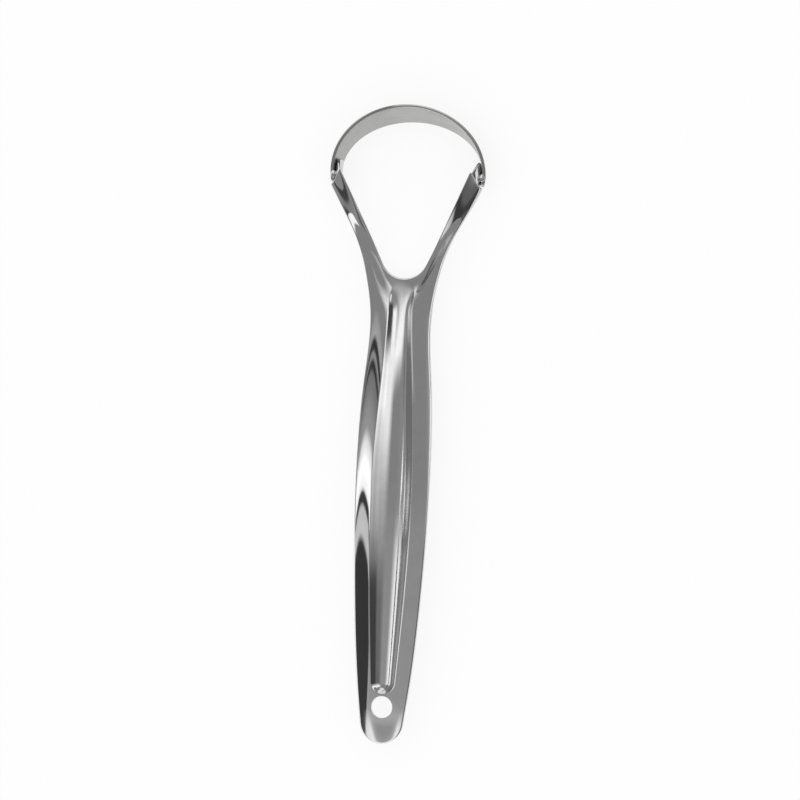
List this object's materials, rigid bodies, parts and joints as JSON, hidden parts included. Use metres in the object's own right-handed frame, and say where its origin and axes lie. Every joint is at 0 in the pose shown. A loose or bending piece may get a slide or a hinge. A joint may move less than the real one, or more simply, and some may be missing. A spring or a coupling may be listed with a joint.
{
  "type": "tongue scraper",
  "caption": "Pressed-steel tongue scraper with a tapered, troughed handle, a hanging hole and a fork that holds an arched scraping band.",
  "frame": {"origin": "middle of the part's footprint, at the height of its lowest point, which is the middle of the band's back edge", "axes": "+X across to the right arm, +Y from the tail to the head, +Z towards the open side of the trough"},
  "size_m": [0.0378, 0.15, 0.0078],
  "materials": {
    "polished_steel": "mirror-polished stainless steel with light rub marks",
    "satin_steel": "satin-ground stainless steel with polished edges",
    "weld_steel": "weld bead, polished over"
  },
  "bodies": {
    "root": {"handle_frame": "polished_steel", "scraper_band": "satin_steel", "spot_welds": "weld_steel"}
  },
  "joints": []
}
